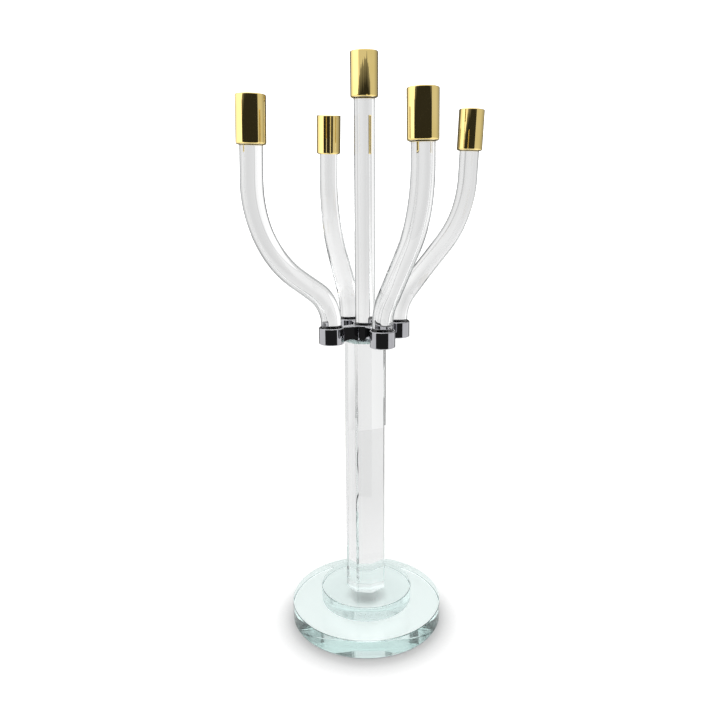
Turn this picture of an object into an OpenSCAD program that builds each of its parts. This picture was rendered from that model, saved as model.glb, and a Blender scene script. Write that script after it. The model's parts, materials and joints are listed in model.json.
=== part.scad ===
// Five-light menorah: a stepped round glass foot, an eight-sided glass stem, a plated hub with five
// sockets, a straight centre rod and four S-bent glass arms, each with a candle cup on its end.
// Millimetres. +Z is up, and the origin is the centre of the underside of the foot.
// Values in square brackets follow the arms in the order front (-Y), right (+X), back (+Y), left (-X).

/* [Foot] */
// Diameter of the base disc
base_d = 162; // [140:1:200]
// Height of the base disc
base_h = 20; // [14:1:30]
// Diameter of the step disc
step_d = 98; // [70:1:120]
// Height of the step disc
step_h = 16; // [8:1:24]
// Polished bevel on the rims of both discs
disc_bevel = 0.8; // [0.3:0.1:2]

/* [Stem] */
// Width of the eight-sided stem across its flats
stem_flats = 40.6; // [34:0.2:50]
// Height of the stem
stem_h = 275; // [200:5:285]
// Turn of the stem's nearest corner from the front arm, in degrees
stem_turn = -10.5; // [-22:0.5:22]

/* [Hub] */
// Distance from the axis to the centre of each outer socket
socket_reach = 37; // [34:1:44]
// Outside diameter of each socket
socket_od = 24.8; // [24:0.1:28]
// Height of each socket
socket_h = 16.5; // [16:0.5:24]
// Thickness of each socket's floor
socket_floor = 1.5; // [1:0.1:3]
// Rounding of each socket's edges
socket_round = 1; // [0.4:0.1:1.2]
// Width of each web where it meets its outer socket
web_tip_w = 7; // [5:0.5:9]
// Width of each web where it meets the centre socket
web_root_w = 12; // [9:0.5:13]
// Height of the webs at the sockets
web_h = 15.5; // [8:0.5:15.5]
// Rise of the arch under each web
web_arch = 2; // [1:0.5:5]

/* [Liners] */
// Wall of the soft liner that holds each rod
liner_wall = 0.9; // [0.6:0.1:1.2]
// Thickness of each liner's floor
liner_floor = 1; // [0.6:0.1:2]
// Depth of each liner's rim below the socket's rim
liner_drop = 0.6; // [0.2:0.1:2]

/* [Rods and arms] */
// Diameter of the glass rods
rod_d = 20; // [18:0.5:20]
// Bevel on the ends of the rods
rod_bevel = 0.6; // [0.2:0.1:1.5]
// Swelling of the glass where a bend runs into a straight stretch
bend_swell = 0.06; // [0.04:0.01:0.1]
// Height above the sockets at which the arms start to bend outwards
bend_gap = 2.5; // [0.5:0.5:12]
// Bend radius of the lower, outward bend
lower_r = 41; // [30:1:60]
// Bend radius of the upper bend that brings an arm back upright
upper_r = 103; // [80:1:115]
// Turn of each arm about its socket, in degrees
arm_turn = [-4.5, 3, -10, 15]; // [-20:0.5:20]
// Steepest slant of each arm from upright, in degrees
arm_bend = [41.5, 44.5, 49, 56]; // [41:0.5:60]
// Outward lean of each arm's top from upright, in degrees
arm_lean = [-2, 2.5, -5, -2]; // [-6:0.5:6]
// Distance from each arm's socket to the foot of its candle cup
arm_reach = [80, 85.5, 81, 83.5]; // [76:0.5:88]

/* [Candle cups] */
// Outside diameter of each cup
cup_d = 26; // [25:0.5:32]
// Height of each cup
cup_h = 40; // [39:1:50]
// Rounding of each cup's edges
cup_round = 1.2; // [0.4:0.1:1.2]
// Diameter of the bore that takes a candle
candle_bore_d = 22.4; // [19:0.1:22.6]
// Depth of the bore that takes a candle
candle_bore_depth = 22; // [18:0.5:24]
// Depth to which each cup slides over its rod
cup_grip = 14; // [8:0.5:14]
// Height of the rims of the four outer cups
side_cup_top = 536; // [520:1:560]
// Height of the rim of the centre cup
centre_cup_top = 581; // [540:1:620]

/* [Hidden] */
// Radial clearance of a rod in its liner
liner_play = 0.05;
// Radial clearance of a cup on its rod
cup_play = 0.1;
// Gap left where a cup or liner floor meets the end of a rod
end_gap = 0.2;
// Gap left round glued, brazed and pressed joints
joint_gap = 0.02;
// Overcut that lets a cutting shape run clear of a face
overcut = 1;

hub_z = base_h + step_h + stem_h;
socket_top = hub_z + socket_h;
bend_start = socket_top + bend_gap;
socket_bore_r = rod_d/2 + liner_play + liner_wall + joint_gap;
liner_z = hub_z + socket_floor;
rod_z = liner_z + liner_floor + end_gap;
stem_corner_r = stem_flats/2/cos(22.5);
web_z = hub_z + (socket_h - web_h)/2;
web_span = socket_reach - socket_od;
web_arch_r = (pow(web_span/2, 2) + pow(web_arch, 2))/(2*web_arch);
cup_foot_z = side_cup_top - cup_h;
centre_cup_z = centre_cup_top - cup_h;
GLASS = [0.85, 0.92, 0.91, 0.5];
FOOT_GLASS = [0.70, 0.86, 0.82, 0.6];
GOLD = [0.83, 0.66, 0.24];
CHROME = [0.75, 0.76, 0.78];
RUBBER = [0.12, 0.12, 0.13];
$fn = 64;

// Direction of socket i round the axis, in degrees from +X
function socket_angle(i) = 90*i - 90;

// Length of the slanted stretch between the two bends of arm i
function slant_run(i) =
    (bend_dx(i)*cos(arm_lean[i]) - bend_dz(i)*sin(arm_lean[i]))/sin(arm_bend[i] - arm_lean[i]);

// Length of the straight stretch from the upper bend of arm i to the foot of its cup
function top_run(i) =
    (bend_dz(i)*sin(arm_bend[i]) - bend_dx(i)*cos(arm_bend[i]))/sin(arm_bend[i] - arm_lean[i]);

// Reach and rise of arm i that its two straight stretches have to cover
function bend_dx(i) =
    arm_reach[i] - lower_r*(1 - cos(arm_bend[i])) - upper_r*(cos(arm_lean[i]) - cos(arm_bend[i]));
function bend_dz(i) =
    cup_foot_z - bend_start - lower_r*sin(arm_bend[i]) - upper_r*(sin(arm_bend[i]) - sin(arm_lean[i]));

// Places its children at socket i, with +X pointing out along the arm
module at_arm(i) {
    rotate([0, 0, socket_angle(i)])
        translate([socket_reach, 0, 0])
            rotate([0, 0, arm_turn[i]])
                children();
}

// Places its children at the foot of the cup of arm i, with +Z along the arm's top
module at_cup(i) {
    at_arm(i)
        translate([arm_reach[i], 0, cup_foot_z])
            rotate([0, arm_lean[i], 0])
                children();
}

// Half outline of a round body with rounded edges
module rounded_half(r, h, edge) {
    square([r - edge, h]);
    translate([0, edge]) square([r, h - 2*edge]);
    translate([r - edge, edge]) circle(r = edge);
    translate([r - edge, h - edge]) circle(r = edge);
}

// Disc with bevelled rims, standing on z = 0
module bevelled_disc(d, h, bevel) {
    cylinder(d1 = d - 2*bevel, d2 = d, h = bevel);
    translate([0, 0, bevel]) cylinder(d = d, h = h - 2*bevel);
    translate([0, 0, h - bevel]) cylinder(d1 = d, d2 = d - 2*bevel, h = bevel);
}

module base_disc() {
    color(FOOT_GLASS) bevelled_disc(base_d, base_h, disc_bevel);
}

module step_disc() {
    color(FOOT_GLASS)
        translate([0, 0, base_h])
            bevelled_disc(step_d, step_h, disc_bevel);
}

module stem() {
    color(GLASS)
        translate([0, 0, base_h + step_h])
            rotate([0, 0, socket_angle(0) + stem_turn])
                cylinder(r = stem_corner_r, h = stem_h, $fn = 8);
}

// Round socket with a floor, standing at the hub's height
module socket_cup() {
    translate([0, 0, hub_z])
        difference() {
            rotate_extrude() rounded_half(socket_od/2, socket_h, socket_round);
            translate([0, 0, socket_floor]) cylinder(r = socket_bore_r, h = socket_h);
        }
}

// Width of a web at x along it, tapering evenly between the two sockets
function web_w(x) = web_root_w + (web_tip_w - web_root_w)*(x - socket_od/2)/web_span;

// Tapered web from the centre socket to an outer one, arched underneath
module web() {
    start = 0.25*socket_od;
    end = socket_reach - 0.42*socket_od;
    difference() {
        translate([0, 0, web_z])
            linear_extrude(web_h)
                polygon([
                    [start, -web_w(start)/2], [end, -web_w(end)/2],
                    [end, web_w(end)/2], [start, web_w(start)/2]
                ]);
        translate([socket_reach/2, 0, web_z + web_arch - web_arch_r])
            rotate([90, 0, 0])
                cylinder(r = web_arch_r, h = web_root_w + 2*overcut, center = true);
    }
}

module hub_cross() {
    color(CHROME) {
        difference() {
            for (i = [0:3]) rotate([0, 0, socket_angle(i)]) web();
            for (i = [0:3])
                rotate([0, 0, socket_angle(i)])
                    translate([socket_reach, 0, hub_z - overcut])
                        cylinder(r = socket_od/2 + joint_gap, h = socket_h + 2*overcut);
            translate([0, 0, hub_z - overcut])
                cylinder(r = (socket_od/2 + socket_bore_r)/2, h = socket_h + 2*overcut);
        }
        socket_cup();
    }
}

module outer_socket(i) {
    color(CHROME)
        rotate([0, 0, socket_angle(i)])
            translate([socket_reach, 0, 0])
                socket_cup();
}

// Soft cup-shaped liner that holds a rod in a socket
module liner_cup() {
    liner_h = socket_top - liner_drop - liner_z;
    translate([0, 0, liner_z])
        difference() {
            cylinder(r = rod_d/2 + liner_play + liner_wall, h = liner_h);
            translate([0, 0, liner_floor]) cylinder(r = rod_d/2 + liner_play, h = liner_h);
        }
}

module centre_liner() {
    color(RUBBER) liner_cup();
}

module outer_liner(i) {
    color(RUBBER)
        rotate([0, 0, socket_angle(i)])
            translate([socket_reach, 0, 0])
                liner_cup();
}

module centre_rod() {
    color(GLASS)
        translate([0, 0, rod_z])
            bevelled_disc(rod_d, centre_cup_z + cup_grip - end_gap - rod_z, rod_bevel);
}

// Arc of rod in the XZ plane about the local origin, from angle a through sweep
module rod_arc(r, a, sweep) {
    rotate([90, 0, 0])
        rotate([0, 0, a])
            rotate_extrude(angle = sweep)
                translate([r, 0]) circle(d = rod_d);
}

// Round swelling where two stretches of rod run into each other
module swelling() {
    sphere(d = rod_d + 2*bend_swell);
}

// Straight stretch of rod from z = 0, with its far end bevelled
module rod_end(h) {
    cylinder(d = rod_d, h = h - rod_bevel);
    translate([0, 0, h - rod_bevel]) cylinder(d1 = rod_d, d2 = rod_d - 2*rod_bevel, h = rod_bevel);
}

module arm(i) {
    bend = arm_bend[i];
    lean = arm_lean[i];
    slant_x = lower_r*(1 - cos(bend));
    slant_z = bend_start + lower_r*sin(bend);
    upper_x = slant_x + slant_run(i)*sin(bend) - upper_r*cos(bend);
    upper_z = slant_z + slant_run(i)*cos(bend) + upper_r*sin(bend);
    color(GLASS)
        at_arm(i) {
            translate([0, 0, bend_start]) {
                rotate([180, 0, 0]) rod_end(bend_start - rod_z);
                swelling();
                translate([lower_r, 0, 0]) rod_arc(lower_r, 180 - bend, bend);
            }
            translate([slant_x, 0, slant_z])
                rotate([0, bend, 0]) {
                    swelling();
                    cylinder(d = rod_d, h = slant_run(i));
                    translate([0, 0, slant_run(i)]) swelling();
                }
            translate([upper_x, 0, upper_z]) rod_arc(upper_r, -bend, bend - lean);
            translate([arm_reach[i], 0, cup_foot_z])
                rotate([0, lean, 0])
                    translate([0, 0, -top_run(i)]) {
                        swelling();
                        rod_end(top_run(i) + cup_grip - end_gap);
                    }
        }
}

// Candle cup standing on z = 0: a bore for the candle above, a bore for the rod below
module candle_cup() {
    color(GOLD)
        difference() {
            rotate_extrude() rounded_half(cup_d/2, cup_h, cup_round);
            translate([0, 0, cup_h - candle_bore_depth])
                cylinder(d = candle_bore_d, h = candle_bore_depth + overcut);
            translate([0, 0, -overcut])
                cylinder(r = rod_d/2 + cup_play, h = cup_grip + overcut);
        }
}

base_disc();
step_disc();
stem();
hub_cross();
outer_socket(0);  // socket_front
outer_socket(1);  // socket_right
outer_socket(2);  // socket_back
outer_socket(3);  // socket_left
centre_liner();  // liner_centre
outer_liner(0);  // liner_front
outer_liner(1);  // liner_right
outer_liner(2);  // liner_back
outer_liner(3);  // liner_left
centre_rod();
arm(0);  // arm_front
arm(1);  // arm_right
arm(2);  // arm_back
arm(3);  // arm_left
translate([0, 0, centre_cup_z]) candle_cup();  // candle_cup_centre
at_cup(0) candle_cup();  // candle_cup_front
at_cup(1) candle_cup();  // candle_cup_right
at_cup(2) candle_cup();  // candle_cup_back
at_cup(3) candle_cup();  // candle_cup_left
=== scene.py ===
"""Looks for the five-light glass menorah: smooth glass, plated metal, a pale floor and a light tent."""

import json
from math import atan2, cos, exp, hypot, pi, radians, sin

import bpy
from mathutils import Matrix, Vector

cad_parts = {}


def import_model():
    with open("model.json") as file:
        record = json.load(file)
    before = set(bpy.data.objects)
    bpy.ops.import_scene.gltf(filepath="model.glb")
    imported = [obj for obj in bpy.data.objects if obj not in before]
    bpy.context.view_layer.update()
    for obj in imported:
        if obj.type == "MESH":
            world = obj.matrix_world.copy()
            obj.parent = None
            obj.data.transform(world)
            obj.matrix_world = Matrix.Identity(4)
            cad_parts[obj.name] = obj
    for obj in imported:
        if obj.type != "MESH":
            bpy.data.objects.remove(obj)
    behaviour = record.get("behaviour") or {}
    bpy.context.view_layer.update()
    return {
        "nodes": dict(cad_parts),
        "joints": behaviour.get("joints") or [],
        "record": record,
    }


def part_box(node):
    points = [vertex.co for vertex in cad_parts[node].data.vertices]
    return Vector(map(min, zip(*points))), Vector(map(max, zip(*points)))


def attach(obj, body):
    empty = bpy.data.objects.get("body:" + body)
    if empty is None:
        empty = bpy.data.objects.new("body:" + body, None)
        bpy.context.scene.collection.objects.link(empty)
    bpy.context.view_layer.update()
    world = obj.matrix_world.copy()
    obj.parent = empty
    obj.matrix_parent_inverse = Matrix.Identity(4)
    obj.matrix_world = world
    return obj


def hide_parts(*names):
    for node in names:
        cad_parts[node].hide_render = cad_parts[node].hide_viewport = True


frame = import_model()

MM = 0.001
SIDES = ("front", "right", "back", "left")
MOUNTS = {m["name"]: m for m in frame["record"]["mounts"]}
JOINTS = {j["name"]: j for j in frame["joints"]}


# --- meshes -----------------------------------------------------------------------------------------

SMOOTH_ANGLE = 30


def new_object(name, verts, faces):
    """A mesh object, smooth but for edges sharper than SMOOTH_ANGLE, with face-weighted normals."""
    mesh = bpy.data.meshes.new(name)
    mesh.from_pydata([tuple(v) for v in verts], [], faces)
    mesh.validate()
    mesh.shade_smooth()
    mesh.set_sharp_from_angle(angle=radians(SMOOTH_ANGLE))
    obj = bpy.data.objects.new(name, mesh)
    bpy.context.scene.collection.objects.link(obj)
    weighted = obj.modifiers.new("even_normals", "WEIGHTED_NORMAL")
    weighted.keep_sharp = True
    return obj


def clamp(value):
    """Value held between 0 and 1."""
    return min(1, max(0, value))


def arc(centre_r, centre_z, radius, start, end, steps=6):
    """Points of a circular arc in the (r, z) half plane, angles in degrees."""
    angles = [radians(start + (end - start) * i / steps) for i in range(steps + 1)]
    return [(centre_r + radius * cos(a), centre_z + radius * sin(a)) for a in angles]


def lathe(name, outline, segments=160, place=Matrix.Identity(4)):
    """Turns an outline of (r, z) points, which starts and ends on the axis, round +Z."""
    verts, rings = [], []
    for r, z in outline:
        if r <= 0:
            rings.append([len(verts)])
            verts.append(place @ Vector((0, 0, z)))
            continue
        rings.append(list(range(len(verts), len(verts) + segments)))
        turns = [2 * pi * k / segments for k in range(segments)]
        verts.extend(place @ Vector((r * cos(a), r * sin(a), z)) for a in turns)
    faces = []
    for low, high in zip(rings, rings[1:]):
        for k in range(segments):
            n = (k + 1) % segments
            if len(low) == 1:
                faces.append((low[0], high[n], high[k]))
            elif len(high) == 1:
                faces.append((low[k], low[n], high[0]))
            else:
                faces.append((low[k], low[n], high[n], high[k]))
    return new_object(name, verts, faces)


def rounded_rod(radius, low, high, edge):
    """Outline of a solid round bar with rounded ends."""
    bottom = arc(radius - edge, low + edge, edge, -90, 0)
    top = arc(radius - edge, high - edge, edge, 0, 90)
    return [(0, low)] + bottom + top + [(0, high)]


def sweep(name, stations, sides=72):
    """Skins oval rings of (centre, outward unit, side unit, outward radius, side radius), ends closed."""
    verts, faces = [], []
    for centre, out, side, a, b in stations:
        turns = [2 * pi * k / sides for k in range(sides)]
        verts.extend(centre + out * (a * cos(t)) + side * (b * sin(t)) for t in turns)
    for i in range(len(stations) - 1):
        base = i * sides
        for k in range(sides):
            n = (k + 1) % sides
            faces.append((base + k, base + n, base + sides + n, base + sides + k))
    last = (len(stations) - 1) * sides
    faces.append(tuple(reversed(range(sides))))
    faces.append(tuple(range(last, last + sides)))
    return new_object(name, verts, faces)


def stands_for(obj, node, body, material):
    """Gives a piece its material and body, and hides the CAD node that it stands for."""
    obj.data.materials.append(material)
    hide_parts(node)
    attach(obj, body)
    return obj


# --- materials --------------------------------------------------------------------------------------


class Nodes:
    """A material with the principled shader, and short calls to add and link nodes."""

    def __init__(self, name):
        self.material = bpy.data.materials.new(name)
        self.material.use_nodes = True
        self.tree = self.material.node_tree
        self.shader = self.tree.nodes["Principled BSDF"]
        self.output = self.tree.nodes["Material Output"]

    def add(self, kind, **values):
        """A new node, with values for its inputs or its properties."""
        node = self.tree.nodes.new(kind)
        for key, value in values.items():
            if key in node.inputs:
                node.inputs[key].default_value = value
            else:
                setattr(node, key, value)
        return node

    def link(self, source, target):
        """Joins an output to an input."""
        self.tree.links.new(source, target)

    def noise(self, scale, detail=3.0, roughness=0.5, stretch=(1, 1, 1)):
        """Noise over the object's own coordinates, in metres times scale."""
        place = self.add("ShaderNodeTexCoord")
        mapping = self.add("ShaderNodeMapping")
        mapping.inputs["Scale"].default_value = stretch
        self.link(place.outputs["Object"], mapping.inputs["Vector"])
        noise = self.add("ShaderNodeTexNoise", Scale=scale, Detail=detail, Roughness=roughness)
        self.link(mapping.outputs["Vector"], noise.inputs["Vector"])
        return noise.outputs["Fac"]

    def spread(self, source, low, high):
        """Maps a 0 to 1 source to low to high."""
        remap = self.add("ShaderNodeMapRange")
        remap.inputs["To Min"].default_value = low
        remap.inputs["To Max"].default_value = high
        self.link(source, remap.inputs["Value"])
        return remap.outputs["Result"]

    def ramp(self, source, low, high, first, second):
        """Colour running from first to second as source goes from low to high."""
        ramp = self.add("ShaderNodeValToRGB")
        ramp.color_ramp.elements[0].position = low
        ramp.color_ramp.elements[1].position = high
        ramp.color_ramp.elements[0].color = (*first, 1)
        ramp.color_ramp.elements[1].color = (*second, 1)
        self.link(source, ramp.inputs["Fac"])
        return ramp.outputs["Color"]

    def by_distance(self, stops, centre=(0, 0, 0)):
        """Value that follows (distance from centre, value) pairs, joined by straight lines."""
        reach = stops[-1][0]
        place = self.add("ShaderNodeTexCoord")
        distance = self.add("ShaderNodeVectorMath", operation="DISTANCE")
        self.link(place.outputs["Object"], distance.inputs[0])
        distance.inputs[1].default_value = centre
        scaled = self.add("ShaderNodeMath", operation="DIVIDE")
        self.link(distance.outputs["Value"], scaled.inputs[0])
        scaled.inputs[1].default_value = reach
        node = self.add("ShaderNodeValToRGB")
        elements = node.color_ramp.elements
        for element, (spot, value) in zip([*elements], (stops[0], stops[-1])):
            element.position = spot / reach
            element.color = (value, value, value, 1)
        for spot, value in stops[1:-1]:
            elements.new(spot / reach).color = (value, value, value, 1)
        self.link(scaled.outputs[0], node.inputs["Fac"])
        return node.outputs["Color"]

    def times(self, first, second):
        """Product of two nodes' outputs."""
        product = self.add("ShaderNodeMath", operation="MULTIPLY")
        self.link(first, product.inputs[0])
        self.link(second, product.inputs[1])
        return product.outputs[0]

    def shade_base(self, amount, factor):
        """Multiplies the base colour by factor where amount is 1, and leaves it where amount is 0."""
        base = self.shader.inputs["Base Color"]
        mix = self.add("ShaderNodeMix", data_type="RGBA", blend_type="MULTIPLY")
        self.link(amount, mix.inputs[0])
        self.link(base.links[0].from_socket, mix.inputs[6])
        mix.inputs[7].default_value = (factor, factor, factor, 1)
        self.link(mix.outputs[2], base)

    def bump(self, source, strength, distance):
        """Bumps the shader's surface by source."""
        node = self.add("ShaderNodeBump", Strength=strength, Distance=distance)
        self.link(source, node.inputs["Height"])
        self.link(node.outputs["Normal"], self.shader.inputs["Normal"])


def glass(name, tint, density, wave_scale, wave_depth, shade_start, shade_dark, shade_pale):
    """Polished glass: faint waves, smudges, a body tint and painted shade, a streaky darker base colour at
    grazing angles that draws dark outlines.
    """
    n = Nodes(name)
    n.shader.inputs["Transmission Weight"].default_value = 1.0
    n.shader.inputs["IOR"].default_value = 1.5
    facing = n.add("ShaderNodeLayerWeight", Blend=0.5)
    # Painted shade: darker and paler streaks of base colour take over towards grazing angles and draw dark
    # outlines on the glass
    shade_streaks = n.ramp(n.noise(28, detail=2, stretch=(1, 1, 0.3)), 0.38, 0.56, shade_dark, shade_pale)
    edge = n.spread(facing.outputs["Facing"], 0, 1)
    edge.node.inputs["From Min"].default_value = shade_start
    edge.node.inputs["From Max"].default_value = min(1, shade_start + 0.2)
    edge_shade_mix = n.add("ShaderNodeMix", data_type="RGBA")
    n.link(edge, edge_shade_mix.inputs[0])
    edge_shade_mix.inputs[6].default_value = (1, 1, 1, 1)
    n.link(shade_streaks, edge_shade_mix.inputs[7])
    n.link(edge_shade_mix.outputs[2], n.shader.inputs["Base Color"])
    smudge = n.noise(22, detail=5, roughness=0.6)
    n.link(n.spread(smudge, 0.0, 0.012), n.shader.inputs["Roughness"])
    n.bump(n.noise(wave_scale, detail=1), 0.4, wave_depth)
    body = n.add("ShaderNodeVolumeAbsorption", Density=density)
    body.inputs["Color"].default_value = (*tint, 1)
    n.link(body.outputs["Volume"], n.output.inputs["Volume"])
    return n.material


def plate(name, first, second, rough_low, rough_high):
    """Bright plated metal: slight colour drift, wiping marks and an orange-peel surface."""
    n = Nodes(name)
    n.shader.inputs["Metallic"].default_value = 1.0
    drift = n.noise(60, detail=4)
    n.link(n.ramp(drift, 0.35, 0.65, first, second), n.shader.inputs["Base Color"])
    wipes = n.noise(90, detail=6, roughness=0.65, stretch=(1, 1, 0.25))
    n.link(n.spread(wipes, rough_low, rough_high), n.shader.inputs["Roughness"])
    n.bump(n.noise(160, detail=1), 0.05, 0.0002)
    return n.material


def rubber(name):
    """Dull black rubber with a fine grain."""
    n = Nodes(name)
    grain = n.noise(900, detail=4)
    shades = (0.012, 0.012, 0.013), (0.03, 0.03, 0.032)
    n.link(n.ramp(grain, 0.35, 0.65, *shades), n.shader.inputs["Base Color"])
    n.link(n.spread(grain, 0.5, 0.75), n.shader.inputs["Roughness"])
    n.bump(grain, 0.3, 0.0002)
    return n.material


# Colours of the glass's painted edge shade at grazing angles: dark streaks and paler streaks
FOOT_EDGE_SHADE = (0.28, 0.40, 0.38), (0.60, 0.74, 0.72)
FOOT_GLASS = glass("foot_glass", (0.05, 0.66, 0.60), 2.2, 14, 0.0003, 0.78, *FOOT_EDGE_SHADE)
ROD_EDGE_SHADE = (0.05, 0.055, 0.055), (0.42, 0.44, 0.44)
ROD_GLASS = glass("rod_glass", (0.62, 0.80, 0.78), 0.9, 16, 0.0020, 0.45, *ROD_EDGE_SHADE)
STEM_EDGE_SHADE = (0.74, 0.76, 0.76), (0.90, 0.92, 0.92)
STEM_GLASS = glass("stem_glass", (0.62, 0.80, 0.78), 0.9, 16, 0.0020, 0.55, *STEM_EDGE_SHADE)
GOLD = plate("gold_plate", (0.89, 0.69, 0.26), (0.92, 0.72, 0.29), 0.015, 0.05)
CHROME = plate("chrome_plate", (0.36, 0.36, 0.38), (0.40, 0.40, 0.42), 0.01, 0.04)
RUBBER = rubber("liner_rubber")


# --- foot and stem ----------------------------------------------------------------------------------

DISC_EDGE = 0.9 * MM
DISC_SEGMENTS = 256
# How far a glass piece sinks into the one it is bonded to
BOND = 0.04 * MM
STEM_EDGE = 0.7 * MM
STEM_TOP_BEVEL = 0.5 * MM


def disc(node, sink):
    """Round glass disc in the CAD node's box, sunk by sink into the glass under it."""
    low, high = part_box(node)
    radius = (high.x - low.x) / 2
    outline = rounded_rod(radius, low.z - sink, high.z, DISC_EDGE)
    stands_for(lathe(node, outline, DISC_SEGMENTS), node, "stand", FOOT_GLASS)


def stem():
    """Eight-sided prism with slightly rounded corners, bonded to the step disc."""
    low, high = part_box("stem")
    corner = stem_corner()
    radius = hypot(corner.x, corner.y)
    turn = atan2(corner.y, corner.x)
    inner = radius - STEM_EDGE / cos(pi / 8)
    outline = []
    for k in range(8):
        heading = turn + k * pi / 4
        centre = Vector((inner * cos(heading), inner * sin(heading)))
        for step in range(-2, 3):
            a = heading + step * pi / 16
            outline.append(centre + Vector((STEM_EDGE * cos(a), STEM_EDGE * sin(a))))
    stations = [(low.z - BOND, 0), (high.z - STEM_TOP_BEVEL, 0), (high.z, STEM_TOP_BEVEL)]
    verts, faces, count = [], [], len(outline)
    for z, shrink in stations:
        scale = 1 - shrink / radius
        verts.extend(Vector((p.x * scale, p.y * scale, z)) for p in outline)
    for i in range(len(stations) - 1):
        for k in range(count):
            n = (k + 1) % count
            a, b = i * count, (i + 1) * count
            faces.append((a + k, a + n, b + n, b + k))
    faces.append(tuple(reversed(range(count))))
    top = (len(stations) - 1) * count
    faces.append(tuple(range(top, top + count)))
    obj = new_object("stem", verts, faces)
    stands_for(obj, "stem", "stand", STEM_GLASS)


def stem_corner():
    """The stem's corner furthest from the axis, read off the CAD node."""
    return max((v.co for v in frame["nodes"]["stem"].data.vertices), key=lambda c: hypot(c.x, c.y))


# --- hub --------------------------------------------------------------------------------------------

# Sizes of the CAD source that the frame doesn't give
SOCKET_BORE = 10.97 * MM
SOCKET_FLOOR = 1.5 * MM
SOCKET_EDGE = 1.0 * MM
LINER_WALL = 0.9 * MM
LINER_FLOOR = 1.0 * MM
WEB_TIP = 7 * MM
WEB_ROOT = 12 * MM
WEB_HEIGHT = 15.5 * MM
WEB_ARCH = 2 * MM
WEB_EDGE = 0.8 * MM
# How far a web's mesh runs into the centre socket and into the outer one
WEB_ROOT_SINK = 0.8 * MM
WEB_TIP_SINK = 0.5 * MM


def socket_centre(side):
    """Point on the floor plane under a socket, from its arm's joint."""
    if side == "centre":
        return Vector((0, 0, 0))
    x, y, _ = JOINTS[side + "_arm_swivel"]["pos_m"]
    return Vector((x, y, 0))


def socket_outline(radius, low, high):
    """Outline of a socket: rounded outside, plain bore with a floor."""
    edge, lip = SOCKET_EDGE, 0.25 * MM
    outside = arc(radius - edge, low + edge, edge, -90, 0) + arc(radius - edge, high - edge, edge, 0, 90)
    mouth = arc(SOCKET_BORE + lip, high - lip, lip, 90, 180, 4)
    return [(0, low)] + outside + mouth + [(SOCKET_BORE, low + SOCKET_FLOOR), (0, low + SOCKET_FLOOR)]


def web_rings(side, low_z, start, end, steps=16):
    """Cross-sections of a web from the centre socket to an outer one, with rounded edges."""
    direction = socket_centre(side).normalized()
    across = Vector((-direction.y, direction.x, 0))
    edge = WEB_EDGE
    rings = []
    for i in range(steps + 1):
        t = i / steps
        half = (WEB_ROOT + (WEB_TIP - WEB_ROOT) * t) / 2 - edge
        arch = WEB_ARCH * (1 - (2 * t - 1) ** 2)
        low, high = low_z + arch + edge, low_z + WEB_HEIGHT - edge
        ring = []
        for sign, z, first in ((1, low, -90), (1, high, 0), (-1, high, 90), (-1, low, 180)):
            for a, b in arc(sign * half, z, edge, first, first + 90, 3):
                ring.append(direction * (start + (end - start) * t) + across * a + Vector((0, 0, b)))
        rings.append(ring)
    return rings


def hub():
    """Centre socket and its four webs as one mesh, and the four outer sockets."""
    low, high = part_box("hub_cross")
    socket_low, socket_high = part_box("socket_right")
    radius = (socket_high.x - socket_low.x) / 2
    outline = socket_outline(radius, low.z, high.z)
    cross = lathe("hub_cross", outline, 128)
    verts = [v.co.copy() for v in cross.data.vertices]
    faces = [tuple(p.vertices) for p in cross.data.polygons]
    bpy.data.objects.remove(cross)
    web_low = (low.z + high.z - WEB_HEIGHT) / 2
    for side in SIDES:
        reach = socket_centre(side).length
        rings = web_rings(side, web_low, radius - WEB_ROOT_SINK, reach - radius + WEB_TIP_SINK)
        base, count = len(verts), len(rings[0])
        for ring in rings:
            verts.extend(ring)
        for i in range(len(rings) - 1):
            for k in range(count):
                n = (k + 1) % count
                a, b = base + i * count, base + (i + 1) * count
                faces.append((a + k, a + n, b + n, b + k))
        faces.append(tuple(base + k for k in reversed(range(count))))
        last = base + (len(rings) - 1) * count
        faces.append(tuple(last + k for k in range(count)))
    stands_for(new_object("hub_cross", verts, faces), "hub_cross", "stand", CHROME)
    for side in SIDES:
        place = Matrix.Translation(socket_centre(side))
        obj = lathe("socket_" + side, outline, 128, place)
        stands_for(obj, "socket_" + side, "stand", CHROME)


def liners():
    """Thin rubber cups that line the five sockets."""
    low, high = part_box("liner_right")
    outer = (high.x - low.x) / 2
    inner = outer - LINER_WALL
    lip = 0.3 * MM
    outside = [(0, low.z), (outer, low.z)] + arc(outer - lip, high.z - lip, lip, 0, 90, 4)
    inside = arc(inner + lip, high.z - lip, lip, 90, 180, 4)
    outline = outside + inside + [(inner, low.z + LINER_FLOOR), (0, low.z + LINER_FLOOR)]
    for side in ("centre",) + SIDES:
        place = Matrix.Translation(socket_centre(side))
        obj = lathe("liner_" + side, outline, 96, place)
        stands_for(obj, "liner_" + side, "stand", RUBBER)


# --- rods and arms ----------------------------------------------------------------------------------

ROD_RADIUS = (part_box("centre_rod")[1].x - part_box("centre_rod")[0].x) / 2
ROD_EDGE = 0.8 * MM
CUP_LOW, CUP_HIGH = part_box("candle_cup_centre")
CUP_RADIUS = (CUP_HIGH.x - CUP_LOW.x) / 2
CUP_HEIGHT = CUP_HIGH.z - CUP_LOW.z
CUP_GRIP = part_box("centre_rod")[1].z - CUP_LOW.z
BORE_RADIUS = MOUNTS["candle_bore_centre"]["dims"]["r_mm"] * MM
BORE_DEPTH = MOUNTS["candle_bore_centre"]["dims"]["length_mm"] * MM
# Sizes of the CAD source that the frame doesn't give
BEND_START = 330 * MM
LOWER_RADIUS = 41 * MM
UPPER_RADIUS = 103 * MM
SLANT = {"front": 41.5, "right": 44.5, "back": 49, "left": 56}
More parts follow.
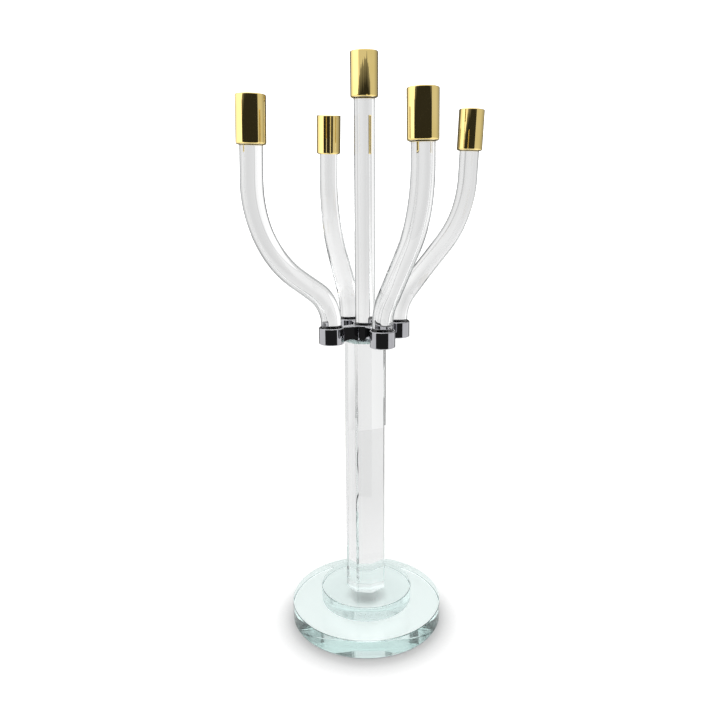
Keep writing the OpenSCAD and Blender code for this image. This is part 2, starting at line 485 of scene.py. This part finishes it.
# Unevenness of the glass: (share of the radius, radians per metre, multiple of the arm's phase)
RIPPLES = (0.012, 46, 1), (0.008, 97, 2)
# Thickening near the foot of an arm: share of the radius, its middle and its width along the arm
ROOT_SWELL, ROOT_SWELL_AT, ROOT_SWELL_WIDTH = 0.05, 45 * MM, 22 * MM
# Where the unevenness fades out at either end of an arm, so that the ends fit their sockets and cups
PLAIN_END, FADE = 20 * MM, 30 * MM
BEND_OVAL = 0.030


def cup_frame(side):
    """Foot centre and axis of a candle cup, from its candle bore's mount."""
    mount = MOUNTS["candle_bore_" + side]
    axis = Vector(mount["axis"]).normalized()
    foot = Vector(mount["pos_m"]) - axis * (CUP_HEIGHT - BORE_DEPTH / 2)
    return foot, axis


def arm_line(side):
    """Points and headings down the middle of an arm: (distance out, height, slant from upright)."""
    foot, axis = cup_frame(side)
    out = foot - socket_centre(side)
    reach = hypot(out.x, out.y)
    outward = Vector((out.x, out.y, 0)).normalized()
    lean = atan2(axis.dot(outward), axis.z)
    bend = radians(SLANT[side])
    dx = reach - LOWER_RADIUS * (1 - cos(bend)) - UPPER_RADIUS * (cos(lean) - cos(bend))
    dz = foot.z - BEND_START - LOWER_RADIUS * sin(bend) - UPPER_RADIUS * (sin(bend) - sin(lean))
    slant_run = (dx * cos(lean) - dz * sin(lean)) / sin(bend - lean)
    top_run = (dz * sin(bend) - dx * cos(bend)) / sin(bend - lean)
    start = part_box("arm_" + side)[0].z
    step = 1.6 * MM
    line = [(0, start + (BEND_START - start) * i / 12, 0) for i in range(12)]
    x, z, angle = 0.0, BEND_START, 0.0
    stretches = (
        (LOWER_RADIUS * bend, 1 / LOWER_RADIUS),
        (slant_run, 0),
        (UPPER_RADIUS * (bend - lean), -1 / UPPER_RADIUS),
        (top_run + CUP_GRIP, 0),
    )
    for length, curve in stretches:
        count = max(2, round(length / step))
        for _ in range(count):
            line.append((x, z, angle))
            middle = angle + curve * length / count / 2
            x += sin(middle) * length / count
            z += cos(middle) * length / count
            angle += curve * length / count
    line.append((x, z, angle))
    return line, outward


def arm(side):
    """Hand-bent glass rod: slightly oval in its bends, with rounded ends."""
    line, outward = arm_line(side)
    across = Vector((-outward.y, outward.x, 0))
    origin = socket_centre(side)
    lengths = [0.0]
    for (x0, z0, _), (x1, z1, _) in zip(line, line[1:]):
        lengths.append(lengths[-1] + hypot(x1 - x0, z1 - z0))
    total = lengths[-1]
    stations = []
    phase = SIDES.index(side) * 1.7
    for (x, z, angle), s in zip(line, lengths):
        swell = sum(size * sin(s * rate + times * phase) for size, rate, times in RIPPLES)
        swell += ROOT_SWELL * exp(-((s - ROOT_SWELL_AT) / ROOT_SWELL_WIDTH) ** 2)
        free = clamp((s - PLAIN_END) / FADE) * clamp((total - PLAIN_END - s) / FADE)
        oval = BEND_OVAL * free * sin(clamp(abs(angle) / radians(50)) * pi / 2)
        radius = ROD_RADIUS * (1 + swell * free)
        out = outward * cos(angle) - Vector((0, 0, sin(angle)))
        centre = origin + outward * x + Vector((0, 0, z))
        stations.append((centre, out, across, radius * (1 - oval), radius * (1 + oval)))
    stations = round_ends(stations)
    obj = sweep("arm_" + side, stations)
    stands_for(obj, "arm_" + side, side + "_arm", ROD_GLASS)


def round_ends(stations):
    """Replaces the first and last rings by short rounded ends."""
    first, last = stations[0], stations[-1]
    along_first = (stations[1][0] - first[0]).normalized()
    along_last = (last[0] - stations[-2][0]).normalized()
    steps = 5
    ends = [[], []]
    for i in range(steps + 1):
        a = pi / 2 * i / steps
        inset, depth = ROD_EDGE * (1 - sin(a)), ROD_EDGE * (1 - cos(a))
        for store, (centre, out, side, p, q), along in (
            (ends[0], first, along_first),
            (ends[1], last, -along_last),
        ):
            store.append((centre + along * depth, out, side, p - inset, q - inset))
    return ends[0] + stations[1:-1] + ends[1][::-1]


def centre_rod():
    """Straight round bar in the CAD node's box."""
    low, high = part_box("centre_rod")
    outline = rounded_rod(ROD_RADIUS, low.z, high.z, ROD_EDGE)
    obj = lathe("centre_rod", outline, 128)
    stands_for(obj, "centre_rod", "stand", ROD_GLASS)


# --- candle cups ------------------------------------------------------------------------------------

# Roof of the rod's bore above the cup's foot, and the bore's play on its rod
CUP_ROOF = 14 * MM
CUP_PLAY = 0.1 * MM


def cup_outline():
    """Outline of a candle cup, from its rod bore's roof, round the outside, to its candle bore's floor."""
    rod_bore = ROD_RADIUS + CUP_PLAY
    foot_edge, lip, well = 1.8 * MM, 0.3 * MM, 0.6 * MM
    rim = (CUP_RADIUS - BORE_RADIUS) / 2
    floor_z = CUP_HEIGHT - BORE_DEPTH
    points = [(0, CUP_ROOF), (rod_bore, CUP_ROOF)]
    points += arc(rod_bore + lip, lip, lip, 180, 270, 4)
    points += arc(CUP_RADIUS - foot_edge, foot_edge, foot_edge, -90, 0, 8)
    points += arc(CUP_RADIUS - rim, CUP_HEIGHT - rim, rim, 0, 180, 12)
    points += arc(BORE_RADIUS - well, floor_z + well, well, 0, -90, 4)
    points += [(0, floor_z)]
    return points


def candle_cup(side):
    """Gold-plated cup, open above for a candle and below for its rod."""
    foot, axis = cup_frame(side)
    place = Matrix.Translation(foot) @ axis.to_track_quat("Z", "Y").to_matrix().to_4x4()
    obj = lathe("candle_cup_" + side, cup_outline(), 128, place)
    stands_for(obj, "candle_cup_" + side, side + "_cup", GOLD)


# --- floor, tent and camera -------------------------------------------------------------------------

CAMERA_TURN = 26.5
CAMERA_DISTANCE = 0.678
CAMERA_HEIGHT = 0.462
CAMERA_TILT = 14.24
CAMERA_PAN = -0.46
CAMERA_ROLL = -0.36
CAMERA_LENS = 34.36
WORLD_FRONT = 0.90
WORLD_BACK = 1.78


def camera():
    """Camera at the photograph's viewing angle."""
    data = bpy.data.cameras.new("camera")
    data.sensor_width = 36
    data.lens = CAMERA_LENS
    obj = bpy.data.objects.new("camera", data)
    bpy.context.scene.collection.objects.link(obj)
    turn = Matrix.Rotation(radians(-CAMERA_TURN), 4, "Z")
    place = Matrix.Translation((0, -CAMERA_DISTANCE, CAMERA_HEIGHT))
    pan = Matrix.Rotation(radians(-CAMERA_PAN), 4, "Z")
    tilt = Matrix.Rotation(radians(90 - CAMERA_TILT), 4, "X")
    roll = Matrix.Rotation(radians(CAMERA_ROLL), 4, "Z")
    obj.matrix_world = turn @ place @ pan @ tilt @ roll
    bpy.context.scene.camera = obj


def emitter(name, strength):
    """Light-giving stage material."""
    material = bpy.data.materials.new(name)
    material.use_nodes = True
    tree = material.node_tree
    tree.nodes.clear()
    emission = tree.nodes.new("ShaderNodeEmission")
    output = tree.nodes.new("ShaderNodeOutputMaterial")
    tree.links.new(emission.outputs[0], output.inputs[0])
    emission.inputs["Strength"].default_value = strength
    return material


def math_node(tree, operation, first, second, third=None):
    """Output of a math node. Each value is a number or another node's output."""
    node = tree.nodes.new("ShaderNodeMath")
    node.operation = operation
    for socket, value in zip(node.inputs, (first, second, third)):
        if isinstance(value, (int, float)):
            socket.default_value = value
        elif value is not None:
            tree.links.new(value, socket)
    return node.outputs[0]


def tent_material(name, lift):
    """Emission of the mesh's glow. It gives the floor no light. Rays turned once inside the glass see it
    brighter by lift, and rays turned three to five times see none of it where the mesh's gap is 1."""
    material = emitter(name, 1.0)
    tree = material.node_tree
    path = tree.nodes.new("ShaderNodeLightPath")

    def attribute(which):
        node = tree.nodes.new("ShaderNodeAttribute")
        node.attribute_name = which
        return node.outputs["Fac"]

    turned = path.outputs["Glossy Depth"]
    once = math_node(tree, "MULTIPLY", math_node(tree, "COMPARE", turned, 1.0, 0.5), lift)
    gap = math_node(tree, "MULTIPLY", math_node(tree, "COMPARE", turned, 4.0, 1.5), attribute("gap"))
    direct = math_node(tree, "COMPARE", path.outputs["Diffuse Depth"], 0.0, 0.5)
    share = math_node(tree, "SUBTRACT", math_node(tree, "ADD", 1.0, once), gap)
    factor = math_node(tree, "MULTIPLY", share, direct)
    strength = math_node(tree, "MULTIPLY", attribute("glow"), factor)
    tree.links.new(strength, tree.nodes["Emission"].inputs["Strength"])
    return material


def room_material(name, clear, deep):
    """Emission of clear, and of deep for rays turned four times or more inside the glass."""
    material = emitter(name, clear)
    tree = material.node_tree
    path = tree.nodes.new("ShaderNodeLightPath")
    turned = math_node(tree, "SUBTRACT", path.outputs["Glossy Depth"], path.outputs["Diffuse Depth"])
    many = math_node(tree, "GREATER_THAN", turned, 3.5)
    strength = math_node(tree, "ADD", math_node(tree, "MULTIPLY", many, deep - clear), clear)
    tree.links.new(strength, tree.nodes["Emission"].inputs["Strength"])
    return material


def smooth_step(value, low, high):
    """0 below low, 1 above high, with a smooth rise between them."""
    t = clamp((value - low) / (high - low))
    return t * t * (3 - 2 * t)


def wall_glow(azimuth, height):
    """Brightness of the wall that metal reflects. Azimuth 0 is the camera's side, positive to its right."""
    left = smooth_step(-azimuth, 40, 55)
    right = smooth_step(azimuth, 40, 55)
    back = smooth_step(abs(azimuth), 126, 136)
    low = 1 - smooth_step(height, 0.30, 0.42)
    fade = (1 - low) * smooth_step(abs(azimuth), 80, 128)
    sides = 0.74 + (0.90 - 0.45 * low) * left + (0.45 * low - 0.02) * right
    sides -= fade * (0.62 * left + 0.30 * right)
    return sides * (1 - back) + 0.16 * back + 0.4 * smooth_step(height, 0.9, 1.2)


def cloth_glow(azimuth, height):
    """Brightness of the cloth seen through glass: six panels with soft darker seams, brighter above."""
    seam = abs((azimuth + 60) % 60 - 30)
    drift = 0.03 * sin(radians(azimuth * 5)) + 0.02 * sin(radians(azimuth * 11 + 40))
    panel = smooth_step(azimuth, -156, -147) * (1 - smooth_step(azimuth, -116, -104))
    above = smooth_step(height, 0.7, 1.1) + 0.12 * (1 - smooth_step(height, 0.18, 0.34))
    return 0.755 + drift + 0.26 * panel + above - 0.24 * (1 - smooth_step(seam, 0.5, 3.5))


def gap_at(azimuth):
    """1 where the tent has an opening for rays turned three to five times, and 0 elsewhere."""
    return smooth_step(abs(azimuth), 100, 106) * (1 - smooth_step(abs(azimuth), 142, 146))


CLOTH_LIFT = 0.22
TENT_HEIGHT = 1.2
TENT_ROOF_GLOW = 1.9


def tent(name, glow_rule, radius, glossy):
    """Round light tent with a bright roof, seen only in reflections or only through glass."""
    columns, rows = 360, 24
    verts, faces, glow, gap = [], [], [], []
    for j in range(rows + 1):
        z = TENT_HEIGHT * j / rows
        for k in range(columns):
            azimuth = -180 + 360 * k / columns
            a = radians(azimuth - 90 - CAMERA_TURN)
            verts.append((radius * cos(a), radius * sin(a), z))
            glow.append(glow_rule(azimuth, z))
            gap.append(gap_at(azimuth))
    for j in range(rows):
        for k in range(columns):
            n = (k + 1) % columns
            faces.append((j * columns + k, j * columns + n, (j + 1) * columns + n, (j + 1) * columns + k))
    verts.append((0, 0, TENT_HEIGHT))
    glow.append(TENT_ROOF_GLOW)
    gap.append(0.0)
    rim = rows * columns
    faces.extend((rim + k, rim + (k + 1) % columns, len(verts) - 1) for k in range(columns))
    mesh = bpy.data.meshes.new(name)
    mesh.from_pydata(verts, [], faces)
    mesh.attributes.new("glow", "FLOAT", "POINT").data.foreach_set("value", glow)
    mesh.attributes.new("gap", "FLOAT", "POINT").data.foreach_set("value", gap)
    wall = bpy.data.objects.new(name, mesh)
    bpy.context.scene.collection.objects.link(wall)
    wall.data.materials.append(tent_material(name, 0.0 if glossy else CLOTH_LIFT))
    stage_only(wall, glossy=glossy, transmission=not glossy)


def stage_only(obj, glossy, transmission):
    """Marks a stage piece that the camera and the floor's own light don't see."""
    obj.visible_camera = False
    obj.visible_diffuse = False
    obj.visible_shadow = False
    obj.visible_glossy = glossy
    obj.visible_transmission = transmission


def mouth_top(x):
    """Height of the opening's draped top edge at x across it."""
    folds = 0.004 * sin(60 * x) + 0.003 * sin(97 * x + 1)
    return 0.622 - 0.014 * smooth_step(-x, 0.1, 0.5) + 0.012 * exp(-((x - 0.14) / 0.09) ** 2) + folds


MOUTH_GLOW = 0.03
MOUTH_TOP_GLOW = 0.30
# What glass shows of the opening: to rays turned less than four times, and to the others
MOUTH_CLEAR = 0.80
MOUTH_DEEP = 0.02


def tent_mouth(name, glossy):
    """The tent's dark opening, where the camera looks in. One copy is for reflections and one for glass."""
    left, right, distance, columns, drape = -0.52, 0.40, 0.33, 60, 0.035
    spots = [left + (right - left) * k / columns for k in range(columns + 1)]
    verts = [(x, -distance, 0) for x in spots]
    verts += [(x, -distance, mouth_top(x) - drape) for x in spots]
    verts += [(x, -distance, mouth_top(x)) for x in spots]
    count = columns + 1
    faces = []
    for row in (0, count):
        for k in range(row, row + columns):
            faces.append((k, k + 1, k + 1 + count, k + count))
    mesh = bpy.data.meshes.new(name)
    mesh.from_pydata(verts, [], faces)
    glow = [MOUTH_GLOW] * 2 * count + [MOUTH_TOP_GLOW] * count
    mesh.attributes.new("glow", "FLOAT", "POINT").data.foreach_set("value", glow)
    mesh.transform(Matrix.Rotation(radians(-CAMERA_TURN), 4, "Z"))
    obj = bpy.data.objects.new(name, mesh)
    bpy.context.scene.collection.objects.link(obj)
    if glossy:
        obj.data.materials.append(tent_material(name, 0.0))
    else:
        obj.data.materials.append(room_material(name, MOUTH_CLEAR, MOUTH_DEEP))
    stage_only(obj, glossy=glossy, transmission=not glossy)


FLOOR_SIZE = 12
FLOOR_LEVEL = -0.15 * MM
# The floor's painted contact shadow, painted darkening seen through glass and painted glow under the foot,
# as (distance from the foot's middle, strength) pairs
CONTACT_SHADE = (0.079, 1.0), (0.086, 0.60), (0.100, 0.15), (0.118, 0.0)
CONTACT_SHIFT = 10 * MM
CONTACT_FACTOR = 0.76
GLASS_SHADE = (0.083, 0.0), (0.10, 0.7), (0.30, 1.0)
GLASS_FACTOR = 0.65
FOOT_GLOW = (
    (0.0, 0.32),
    (0.012, 0.44),
    (0.024, 0.84),
    (0.045, 0.86),
    (0.055, 0.89),
    (0.080, 0.88),
    (0.086, 0.0),
)


def floor():
    """Pale floor with a painted soft shadow round the foot. Seen through glass it is painted darker, and a
    painted glow lies under the foot.
    """
    mesh = bpy.data.meshes.new("floor")
    half = FLOOR_SIZE / 2
    corners = [(-half, -half), (half, -half), (half, half), (-half, half)]
    mesh.from_pydata([(x, y, FLOOR_LEVEL) for x, y in corners], [], [(0, 1, 2, 3)])
    obj = bpy.data.objects.new("floor", mesh)
    bpy.context.scene.collection.objects.link(obj)
    n = Nodes("floor_paper")
    fine = n.noise(300, detail=4)
    n.link(n.ramp(fine, 0.35, 0.65, (0.90,) * 3, (0.915,) * 3), n.shader.inputs["Base Color"])
    n.shader.inputs["Roughness"].default_value = 0.9
    n.shader.inputs["Specular IOR Level"].default_value = 0.1
    through_glass = n.add("ShaderNodeLightPath").outputs["Is Transmission Ray"]
    shade_centre = Matrix.Rotation(radians(-CAMERA_TURN), 3, "Z") @ Vector((0, -CONTACT_SHIFT, 0))
    # Painted contact shadow: the base colour darkens round the foot, reaching further on the camera's side
    n.shade_base(n.by_distance(CONTACT_SHADE, shade_centre), CONTACT_FACTOR)
    # Painted shade: the floor's base colour is darker where it is seen through glass, away from the foot
    n.shade_base(n.times(n.by_distance(GLASS_SHADE), through_glass), GLASS_FACTOR)
    # Painted glow: emission under the foot that only rays through glass see
    n.shader.inputs["Emission Color"].default_value = (0.93, 1.0, 0.985, 1)
    n.link(n.times(n.by_distance(FOOT_GLOW), through_glass), n.shader.inputs["Emission Strength"])
    obj.data.materials.append(n.material)


def world():
    """Soft white studio light, stronger from behind the object. The camera sees it as plain white."""
    scene = bpy.context.scene
    scene.world = bpy.data.worlds.new("studio")
    scene.world.use_nodes = True
    tree = scene.world.node_tree
    background = tree.nodes["Background"]
    background.inputs["Color"].default_value = (1, 1, 1, 1)
    place = tree.nodes.new("ShaderNodeTexCoord")
    behind = tree.nodes.new("ShaderNodeVectorMath")
    behind.operation = "DOT_PRODUCT"
    behind.inputs[1].default_value = Matrix.Rotation(radians(-CAMERA_TURN), 3, "Z") @ Vector((0, 1, 0))
    tree.links.new(place.outputs["Generated"], behind.inputs[0])
    spread = tree.nodes.new("ShaderNodeMapRange")
    for key, value in (("From Min", -1), ("To Min", WORLD_FRONT), ("To Max", WORLD_BACK)):
        spread.inputs[key].default_value = value
    tree.links.new(behind.outputs["Value"], spread.inputs["Value"])
    camera_ray = tree.nodes.new("ShaderNodeLightPath").outputs["Is Camera Ray"]
    strength = math_node(tree, "MAXIMUM", spread.outputs["Result"], camera_ray)
    tree.links.new(strength, background.inputs["Strength"])
    scene.view_settings.view_transform = "Standard"
    scene.cycles.max_bounces = 24
    scene.cycles.transmission_bounces = 24
    scene.cycles.glossy_bounces = 10


disc("base_disc", 0)
disc("step_disc", BOND)
stem()
hub()
liners()
centre_rod()
for side_name in SIDES:
    arm(side_name)
for side_name in ("centre",) + SIDES:
    candle_cup(side_name)
camera()
world()
floor()
tent("tent_wall", wall_glow, 0.62, glossy=True)
tent("tent_cloth", cloth_glow, 0.60, glossy=False)
tent_mouth("dark_room", glossy=True)
tent_mouth("dark_room_deep", glossy=False)
